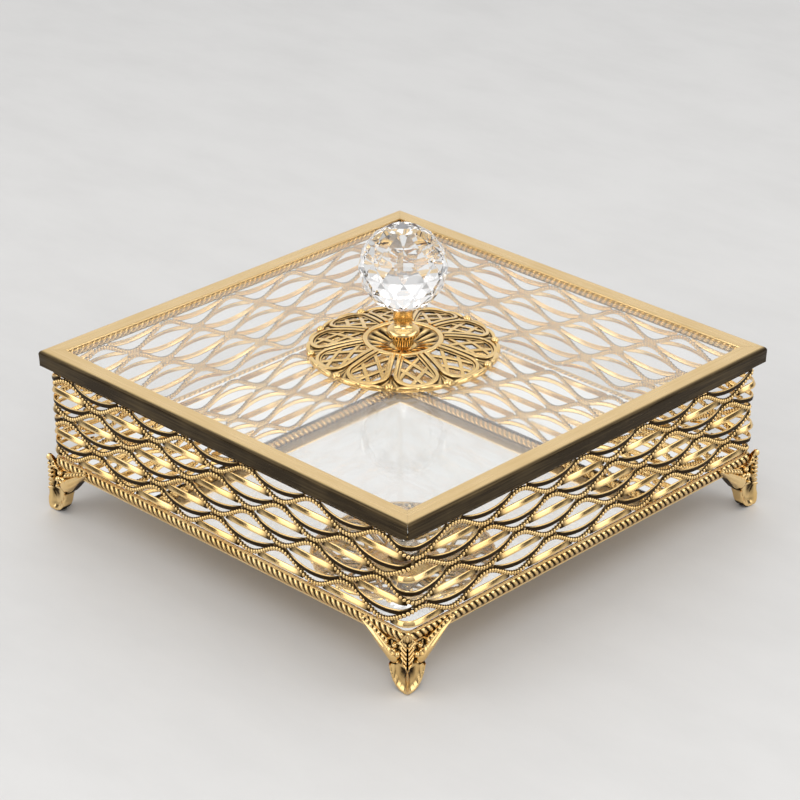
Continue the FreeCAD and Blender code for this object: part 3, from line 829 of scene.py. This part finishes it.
def add_leaves(shell):
    """Folded leaf between two petals, fanning out from a point to the rim, and a drop at its foot."""
    r = np.linspace(leaf_root, leaf_end, 14)[:, None]
    sector = np.pi / petal_count
    edge = np.arcsin((half_width(r) + petal_line / 2) / r)
    open_angle = np.clip(sector - edge, 0.008, 0.15)
    v = np.linspace(-1, 1, 17)
    plan = round_about(np.stack([r * np.cos(v * open_angle), r * np.sin(v * open_angle)], -1), 0)
    fold = 0.5 * np.abs(v) - 0.35 + 0.12 * np.cos(4 * np.pi * v)
    # Painted shade in the valleys of each folded leaf.
    shell.slab(on_dome(plan, fold), on_dome(plan, -0.9), np.clip(0.45 - 0.5 * np.cos(4 * np.pi * v), 0, 0.8))
    points, faces = ball_template(np.linspace(22.5, 157.5, 7), 14)
    drop = points * drop_radii
    plan = round_about(np.stack([rosette_radius - drop_radii[0] + drop[:, 0], drop[:, 2]], -1), 0)
    z = np.broadcast_to(glass_top + drop_radii[1] + drop[:, 1], plan.shape[:-1])
    shell.repeat(np.concatenate([plan, z[..., None]], -1), faces)


def add_rim(shell):
    """Scalloped rim lying on the glass: an upright bar that swells in two lobes between every two drops."""
    turn = np.arange(rim_steps) * 2 * np.pi / rim_steps
    step = 2 * np.pi / petal_count
    from_drop = np.abs((turn / step + 0.5) % 1 - 0.5)
    share = np.clip((from_drop - drop_share) / (0.5 - drop_share), 0, 1)
    lobe = np.sqrt(1 - (0.97 * (2 * share - 1)) ** 2)
    across, up = bar_section(rim_width, rim_height, 14, 0.7)
    swollen = (0.7 + 0.3 * lobe)[:, None]
    out = rosette_radius - rim_width / 2 - 0.45 * (1 - lobe)[:, None] + across * swollen
    z = glass_top + (rim_height / 2 + up) * swollen
    # Painted shade where the lobes narrow between drops, and on the rim's inner side.
    dark = np.clip(0.9 - 2.2 * lobe, 0, 1)[:, None] + 0.5 * (across < -0.4 * rim_width)
    shell.hoop(spun(out, turn[:, None], z), np.clip(dark, 0, 1))


def add_cup(shell):
    """Flat ring round the top, and inside it a dished cup whose flutes are a cosine of the turn."""
    turn = np.arange(cup_steps)[:, None] * 2 * np.pi / cup_steps
    across, up = bar_section(ring_width, ring_thick, 16, 0.6)
    shell.hoop(spun(ring_radius + across, turn, ring_height - ring_thick / 2 + up))
    share = np.linspace(0, 1, 18)
    r = cup_radius + (ring_radius - 0.8 - cup_radius) * share
    flute = flute_depth * np.sin(np.pi * share) * np.cos(flute_count * turn)
    dish = cup_floor + (ring_height - 0.7 - cup_floor) * share ** 1.4
    low = dish - cup_thick + 0 * turn
    loop_z = np.concatenate([dish + flute, low[:, ::-1]], 1)
    # Painted shade in the hollows between the flutes.
    dark = np.concatenate([np.clip(0.5 - 1.5 * flute, 0, 0.95), 0 * low], 1)
    shell.hoop(spun(np.concatenate([r, r[::-1]]), turn, loop_z), dark)


def rosette():
    """Filigree rosette: ten petals, the leaves between them, a rim on the glass and a fluted cup."""
    shell = Shell()
    add_petals(shell)
    add_leaves(shell)
    add_rim(shell)
    add_cup(shell)
    return make_piece("rosette_lace", shell, polished_gold, "lid", ["rosette"])


rosette()


# Knob
ball_rings = np.radians(np.linspace(-67.5, 67.5, 7))
ball_around = 12
stem_around = 72
thread_pitch = 0.8
thread_depth = 0.35
thread_around = 24
thread_steps = 200


def oval_arc(middle, radii, start, end, count=12):
    """Points of an ellipse's arc: the middle plus each radius times the cosine or sine of an angle."""
    t = np.radians(np.linspace(start, end, count))
    return np.stack([middle[0] + radii[0] * np.cos(t), middle[1] + radii[1] * np.sin(t)], -1)


def knob_stem():
    """Turned stem: boss, waist, round bulb, hollow flare, neck and collar, as one outline spun round."""
    shell = Shell()
    outline = np.concatenate([
        [(2.2, 0.0), (4.8, 0.0), (4.8, 0.9), (3.9, 1.5), (3.6, 2.6), (3.7, 3.6), (4.2, 4.0)],
        oval_arc((4.35, 5.9), (1.45, 1.75), -75, 70, 16),
        oval_arc((5.0, 9.7), (1.85, 1.9), 256, 180),
        [(3.15, 10.3), (3.3, 10.5), (3.5, 10.8), (3.5, 15.7), (3.35, 15.9), (2.2, 15.9)]])
    turn = np.arange(stem_around)[:, None] * 2 * np.pi / stem_around
    z = stem_bottom + outline[:, 1] * (stem_top - stem_bottom) / outline[-1, 1]
    shell.hoop(spun(outline[:, 0], turn, z))
    return make_piece("stem_turned", shell, polished_gold, "lid", ["knob_stem"], sharp=35)


def cut_ball():
    """Cut ball: rings of corners on a sphere, each turned half a step from the last, joined by triangles."""
    shell = Shell()
    low, high = corners("crystal_ball")
    middle, half = (low[2] + high[2]) / 2, (high[2] - low[2]) / 2
    radius = half / math.sin(ball_rings[-1])
    ring, k = np.meshgrid(np.arange(len(ball_rings)), np.arange(ball_around), indexing="ij")
    turn = (k + ring / 2) * 2 * np.pi / ball_around
    points = spun(
        radius * np.cos(ball_rings)[:, None], turn, middle + radius * np.sin(ball_rings)[:, None])
    here = (ring * ball_around + k)[:-1]
    beside = (ring * ball_around + (k + 1) % ball_around)[:-1]
    bands = [np.stack(three, -1).reshape(-1, 3) for three in (
        (here, beside, here + ball_around), (here + ball_around, beside, beside + ball_around))]
    fan = np.stack([0 * k[0, 2:], k[0, 1:-1], k[0, 2:]], -1)
    top = fan + (len(ball_rings) - 1) * ball_around
    shell.add(points, np.concatenate(bands + [fan[:, ::-1], top]))
    return make_piece("ball_cut", shell, cut_crystal, "lid", ["crystal_ball"], sharp=1)


def knob_stud():
    """Threaded stud up to the foot of the ball: its radius falls and rises with height and turn together."""
    shell = Shell()
    low, high = corners("knob_stud")
    radius = (high[0] - low[0]) / 2
    z = np.linspace(low[2], stem_top, thread_steps)[:, None]
    turn = np.arange(thread_around) * 2 * np.pi / thread_around
    groove = np.abs((z / thread_pitch + turn / (2 * np.pi)) % 1 - 0.5) * 2
    # Painted shade in the thread grooves.
    shell.tube(spun(radius - thread_depth * groove, turn, z), groove * 0.6)
    return make_piece("stud_thread", shell, plated_steel, "lid", ["knob_stud"])


knob_stem()
cut_ball()
knob_stud()


# Feet
foot_face = half_lid - 0.4
foot_reach = 21.5
foot_back = 4.2
foot_ground = -2.4
foot_absent = -3.0
foot_lowest, foot_highest = -2.6, 0.38
foot_web = 0.7
foot_thinnest = 0.2
foot_corner_pull = 1.6
foot_grid = (151, 121)
# The next two set the painted shade in the foot's hollows.
shade_blur_passes = 18
shade_gain = 5
toe_top = 9.0
toe_hollow = -1.35
toe_fan_height = 9.8
toe_grooves = 13
toe_ridge = 1.5
toe_ridge_half = 2.4
arm_root = (7.9, 11.6)
arm_slope = (0.822, 0.569)
arm_half = 2.8
arm_base = -2.0
arm_height = 2.1
arm_flute_depth, arm_flute_pitch = 0.1, 1.5
edge_start = 9.2
edge_bead_pitch, edge_bead_radius = 1.75, 0.95
ornament_base = -1.4
ornament_height = 1.75
rib_low, rib_high = 9.1, 19.0
rib_half = 3.1
rib_base = -1.3
rib_rise = 1.5
rib_groove = -1.5
leaflet_pitch = 1.65
crown_height, crown_radius, crown_rise = 20.8, 1.6, 1.5
curl_base, curl_half, curl_rise = -1.5, 0.45, 1.5
berries = ((4.8, 13.5, 1.25), (6.3, 16.5, 1.15), (4.6, 10.9, 0.6))
curls = ((7.0, 13.7, 1.0), (3.2, 19.0, 0.8))
upper_line = (
    (0.0, 22.4), (1.2, 22.0), (2.4, 20.8), (4.0, 18.6), (6.4, 16.9), (9.0, 17.3), (13.0, 19.0), (17.0, 20.7),
    (20.0, 21.7), (21.5, 21.4))
lower_line = (
    (0.0, 0.0), (2.2, 0.0), (3.8, 0.3), (5.4, 1.1), (6.9, 2.6), (8.1, 4.8), (8.8, 7.0), (9.1, 8.8),
    (9.9, 9.3), (11.3, 10.3), (13.3, 12.4), (15.3, 14.7), (17.3, 16.9), (19.4, 18.9), (21.5, 20.6))


def swell(distance, radius, height):
    """Half a ball: the root of one less the squared share of its radius."""
    return height * np.sqrt(np.clip(1 - (distance / radius) ** 2, 0, 1))


def toe_leaf(s, z, below):
    """Toe: a hollow leaf with a sharp ridge on the corner and a rolled edge that ends in a blunt lip.

    Grooves fan out from a point at its top, as a cosine of the angle there.
    """
    fan = np.arctan2(s, toe_fan_height - z)
    reach = np.hypot(s, toe_fan_height - z)
    grooves = np.clip(np.cos(toe_grooves * fan), 0, 1) ** 2
    grooves = grooves * smooth_step(reach, 1.0, 2.0) * (1 - smooth_step(reach, 3.0, 5.5))
    ridge = toe_ridge * np.clip(1 - s / toe_ridge_half, 0, 1) ** 2 * smooth_step(z, -1.5, 3.0)
    roll = np.exp(-((below - 0.75) / 0.7) ** 2) * (1.05 + 0.15 * np.cos(2.4 * z)) * smooth_step(z, 2.0, 6.0)
    lip = (0.5 + 0.45 * smooth_step(s, 0.0, 2.0)) * (1 - smooth_step(below, 0.3, 3.0))
    leaf = toe_hollow + ridge + np.maximum(roll, lip) - 0.3 * grooves
    return np.where(z < toe_top - 0.06 * s, leaf, foot_absent)


def thumb_arm(s, z):
    """Arm: a tapering rounded thumb along a slanted line, with shallow flutes lengthwise."""
    out, up = s - arm_root[0], z - arm_root[1]
    along = out * arm_slope[0] + up * arm_slope[1]
    beside = up * arm_slope[0] - out * arm_slope[1]
    half = arm_half - 0.1 * np.clip(along, 0, 16)
    flutes = arm_flute_depth * np.cos(2 * np.pi * beside / arm_flute_pitch) * smooth_step(along, 2, 5)
    blunt = np.hypot(np.minimum(along, 0), beside)
    return arm_base + swell(blunt, half, arm_height) + flutes


def beaded_edge(s, above):
    """Row of beads along the upper edge, one to every pitch."""
    place = ((s / edge_bead_pitch) % 1 - 0.5) * edge_bead_pitch
    distance = np.hypot(place, above - edge_bead_radius)
    row = ornament_base + swell(distance, edge_bead_radius, ornament_height)
    return np.where(s > edge_start, row, foot_absent)


def feather_rib(s, z):
    """Rib up the corner: leaflets that slant up and out from a groove, inside a pointed border."""
    half = rib_half * np.sqrt(np.clip((z - rib_low) / 4.9, 0, 1)) * (1 - 0.3 * smooth_step(z, 17, 22))
    leaflets = rib_base + rib_rise * np.abs(np.cos(np.pi * (z - 0.6 * s) / leaflet_pitch)) ** 0.6
    border = rib_rise * np.exp(-((s - half + 0.35) / 0.3) ** 2) * (z < 13.5)
    spine = np.where(s < 0.4, rib_groove, np.maximum(leaflets, rib_base + border))
    return np.where((s < half) & (z < rib_high), spine, foot_absent)


def foot_relief(s, z, above, below):
    """How far the cast surface stands out at place s along the wall and height z.

    It is the highest of a hollow ground, the toe, the arm, the edge, the rib, a crown, berries and curls.
    Above and below are the distances to the two outlines.
    """
    layers = [
        np.full_like(z, foot_ground), toe_leaf(s, z, below), thumb_arm(s, z), beaded_edge(s, above),
        feather_rib(s, z), ornament_base + swell(np.hypot(s, z - crown_height), crown_radius, crown_rise)]
    for place, height, radius in berries:
        layers.append(ornament_base + swell(np.hypot(s - place, z - height), radius, ornament_height))
    for place, height, radius in curls:
        layers.append(curl_base + swell(np.hypot(s - place, z - height) - radius, curl_half, curl_rise))
    soft_edge = 0.35 * (1 - smooth_step(np.minimum(above, below), 0.0, 0.35))
    return np.clip(np.maximum.reduce(layers) - soft_edge, foot_lowest, foot_highest)


def foot_wing():
    """One wing of a foot: place s and height on a grid between its two outlines, and its two faces."""
    s = foot_reach * np.linspace(0, 1, foot_grid[0])[:, None] ** 1.1
    upper = np.interp(s, *np.array(upper_line).T)
    lower = np.interp(s, *np.array(lower_line).T)
    z = lower + (upper - lower) * np.linspace(0, 1, foot_grid[1])
    slope_up = np.gradient(upper[:, 0], s[:, 0])[:, None]
    slope_low = np.gradient(lower[:, 0], s[:, 0])[:, None]
    above = (upper - z) / np.hypot(1, slope_up)
    below = (z - lower) / np.hypot(1, slope_low)
    s = s + 0 * z
    relief = foot_relief(s, z, above, below)
    behind = np.where(z > seat_height - 0.1, -foot_web, -foot_back)
    return s, z, np.maximum(relief, behind + foot_thinnest), behind


def foot(side):
    """Cast foot: two wings that meet on the corner, each pulled to the diagonal where they join.

    Painted shade darkens it where the relief lies under its own average, which is taken step by step on the
    grid.
    """
    shell = Shell()
    s, z, relief, behind = foot_wing()
    soft = relief.copy()
    for axis in (0, 1) * shade_blur_passes:
        soft = (np.roll(soft, 1, axis) + 2 * soft + np.roll(soft, -1, axis)) / 4
    # Painted shade in the foot's hollows and on its deep ground.
    hollow = np.clip((soft - relief) * shade_gain, 0, 1) + smooth_step(-relief, 1.5, 2.1)
    # Painted shade on the upper middle of the toe.
    fan = smooth_step(z, 3.5, 8.0) * (z < toe_top)
    fan = fan * smooth_step(s, 0.5, 1.4) * (1 - smooth_step(s, 3.5, 5.5))
    hollow = hollow + 0.8 * fan
    for mirrored in (False, True):
        layers = []
        for depth in (relief, behind):
            drawn = s - depth * np.exp(-s / foot_corner_pull)
            x, y = drawn - foot_face, -foot_face - depth
            if mirrored:
                x, y = y, x
            layers.append(np.stack([*turned(x, y, side_turn(side)), z], -1))
        shell.slab(layers[0], layers[1], np.clip(hollow, 0, 1))
    name = "foot_cast_" + side
    return make_piece(name, shell, polished_gold, "box", ["foot_" + side], sharp=70)


for side in sides:
    foot(side)


# Finishes of the CAD nodes that stay
for name, material in (
        ("base_plate", satin_gold), ("mirror_floor", floor_mirror), ("lid_glass", clear_glass),
        ("rosette_gasket", soft_ring),
        ("knob_washer", plated_steel), ("knob_nut", plated_steel)):
    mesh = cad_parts[name].data
    mesh.materials.clear()
    mesh.materials.append(material)


# Floor, light and camera
def floor():
    """Plain pale floor with a faint mottle."""
    mesh = bpy.data.meshes.new("floor")
    half = 3.0
    square = [(-half, -half, 0), (half, -half, 0), (half, half, 0), (-half, half, 0)]
    mesh.from_pydata(square, [], [(0, 1, 2, 3)])
    paper = surface_material(
        "pale_floor", smudge, {"Clear": (0.66, 0.655, 0.65, 1), "Hazed": (0.63, 0.625, 0.62, 1)},
        0.5, 0.6, (0.02, 0.0005), 0.0)
    mesh.materials.append(paper)
    piece = bpy.data.objects.new("floor", mesh)
    bpy.context.scene.collection.objects.link(piece)


def softbox(name, place, aim, width, height, power, color):
    """Rectangular lamp in metres and watts, turned to its aim."""
    lamp = bpy.data.lights.new(name, "AREA")
    lamp.shape = "RECTANGLE"
    lamp.size = width
    lamp.size_y = height
    lamp.energy = power
    lamp.color = color
    piece = bpy.data.objects.new(name, lamp)
    piece.location = place
    piece.rotation_euler = (Vector(place) - Vector(aim)).to_track_quat("Z", "Y").to_euler()
    bpy.context.scene.collection.objects.link(piece)


def studio_world():
    """Soft room: dark near the floor, grey higher up, white before and behind the box."""
    world = bpy.data.worlds.new("studio")
    bpy.context.scene.world = world
    world.use_nodes = True
    tree = world.node_tree
    place = tree.nodes.new("ShaderNodeTexCoord").outputs["Generated"]
    axes = add_node(tree, "ShaderNodeSeparateXYZ", Vector=place).outputs
    behind = math_node(tree, "ADD", axes["X"], axes["Y"])
    upper = blend_colors(
        tree, spread(tree, behind, -1.2, -0.7, 0.0, 1.0), (0.98, 0.98, 0.97, 1), (0.55, 0.55, 0.55, 1))
    room = blend_colors(tree, spread(tree, axes["Z"], 0.14, 0.40, 0.0, 1.0), (0.12, 0.12, 0.13, 1), upper)
    color = blend_colors(tree, spread(tree, behind, 0.35, 1.05, 0.0, 1.0), room, (0.93, 0.93, 0.93, 1))
    tree.links.new(color, tree.nodes["Background"].inputs["Color"])


def camera():
    """Fitted to the photograph: square picture, long lens, seen from over the front corner."""
    azimuth, elevation, roll = (math.radians(a) for a in (-45.5057, 26.3876, -0.085))
    target, distance = Vector((-0.0008, 0.0008, 0.0426)), 0.9704
    flat = math.cos(elevation)
    back = Vector((flat * math.sin(azimuth), -flat * math.cos(azimuth), math.sin(elevation)))
    data = bpy.data.cameras.new("camera")
    data.lens = 124.0
    data.sensor_width = 36.0
    piece = bpy.data.objects.new("camera", data)
    piece.location = target + distance * back
    piece.rotation_euler = (back.to_track_quat("Z", "Y") @ Quaternion((0, 0, 1), roll)).to_euler()
    bpy.context.scene.collection.objects.link(piece)
    bpy.context.scene.camera = piece


floor()
studio_world()
camera()
middle = (0.0, 0.0, 0.04)
warm_light, mild_light, white_light = (1.0, 0.98, 0.95), (1.0, 0.99, 0.97), (1.0, 1.0, 1.0)
softbox("left_box", (-1.06, 0.28, 0.36), middle, 0.85, 0.66, 3.0, warm_light)
softbox("right_box", (0.28, -1.06, 0.36), middle, 0.85, 0.66, 3.0, warm_light)
softbox("front_box", (-0.75, -0.75, 1.1), middle, 0.5, 0.35, 3.0, mild_light)
softbox("left_far_box", (-0.8, 0.8, 0.6), middle, 1.0, 0.6, 2.4, mild_light)
softbox("right_far_box", (0.8, -0.8, 0.6), middle, 1.0, 0.6, 2.4, mild_light)
softbox("top_box", (0.0, 0.0, 1.25), middle, 1.3, 1.3, 4.5, white_light)

scene = bpy.context.scene
scene.view_settings.view_transform = "Standard"
# Light goes through the lid, off the mirror and out again many times
scene.cycles.max_bounces = 32
scene.cycles.glossy_bounces = 16
scene.cycles.transmission_bounces = 32
